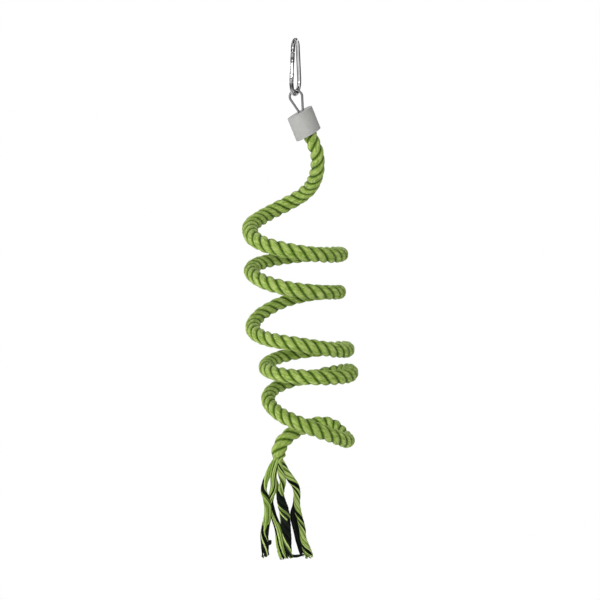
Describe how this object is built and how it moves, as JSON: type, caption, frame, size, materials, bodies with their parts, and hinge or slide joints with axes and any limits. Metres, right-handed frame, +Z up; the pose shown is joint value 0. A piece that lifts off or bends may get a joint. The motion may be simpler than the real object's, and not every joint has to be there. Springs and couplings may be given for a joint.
{
  "type": "hanging spiral rope perch",
  "caption": "Hanging bird perch: a wire-cored rope spiral with a plastic end cap, a wire eye on a snap hook, and an unlaid tassel at the lower end.",
  "frame": {"origin": "inside crown of the snap hook's top bend, where it hangs on a bar", "axes": "+Z up, opposite to gravity; the hook lies in the YZ plane with its gate on the -Y side; the wire eye, the cap and the spiral share a side axis turned 18 degrees about Z from +X"},
  "size_m": [0.1, 0.0924, 0.4653],
  "materials": {
    "hook_steel": "polished",
    "wire_steel": "drawn",
    "cap_plastic": "matte",
    "rope_fibre": "laid rope",
    "yarn_fibre": "green and black yarn"
  },
  "bodies": {
    "hook": {"snap_hook_frame": "hook_steel", "gate_hinge_rivet": "hook_steel"},
    "gate": {"snap_hook_gate": "hook_steel", "gate_latch_pin": "hook_steel", "gate_plunger": "hook_steel", "gate_spring": "wire_steel"},
    "perch": {"wire_eye": "wire_steel", "crimp_sleeve": "wire_steel", "end_cap": "cap_plastic", "rope": "rope_fibre", "core_wire": "wire_steel"},
    "tassel": {"tassel_binding": "rope_fibre", "tassel_strand_1": "yarn_fibre", "tassel_strand_2": "yarn_fibre", "tassel_strand_3": "yarn_fibre", "tassel_strand_4": "yarn_fibre", "tassel_strand_5": "yarn_fibre", "tassel_strand_6": "yarn_fibre"}
  },
  "joints": [
    {"name": "gate_hinge", "type": "hinge", "parent": "hook", "child": "gate", "pos_m": [0, -0.01054, -0.03125], "axis": [-1, 0, 0], "range_deg": [0, 25], "stiffness_Nm_per_rad": 0.03, "springref_deg": -28.65},
    {"name": "perch_swing", "type": "hinge", "parent": "hook", "child": "perch", "pos_m": [0, 0, -0.0446], "axis": [0, 1, 0], "range_deg": [-60, 60]},
    {"name": "spiral_bounce", "type": "slide", "parent": "perch", "child": "tassel", "axis": [0, 0, -1], "range_m": [-0.02, 0.05], "stiffness_N_per_m": 60, "springref_m": -0.0006, "deforming": ["rope", "core_wire"]}
  ]
}
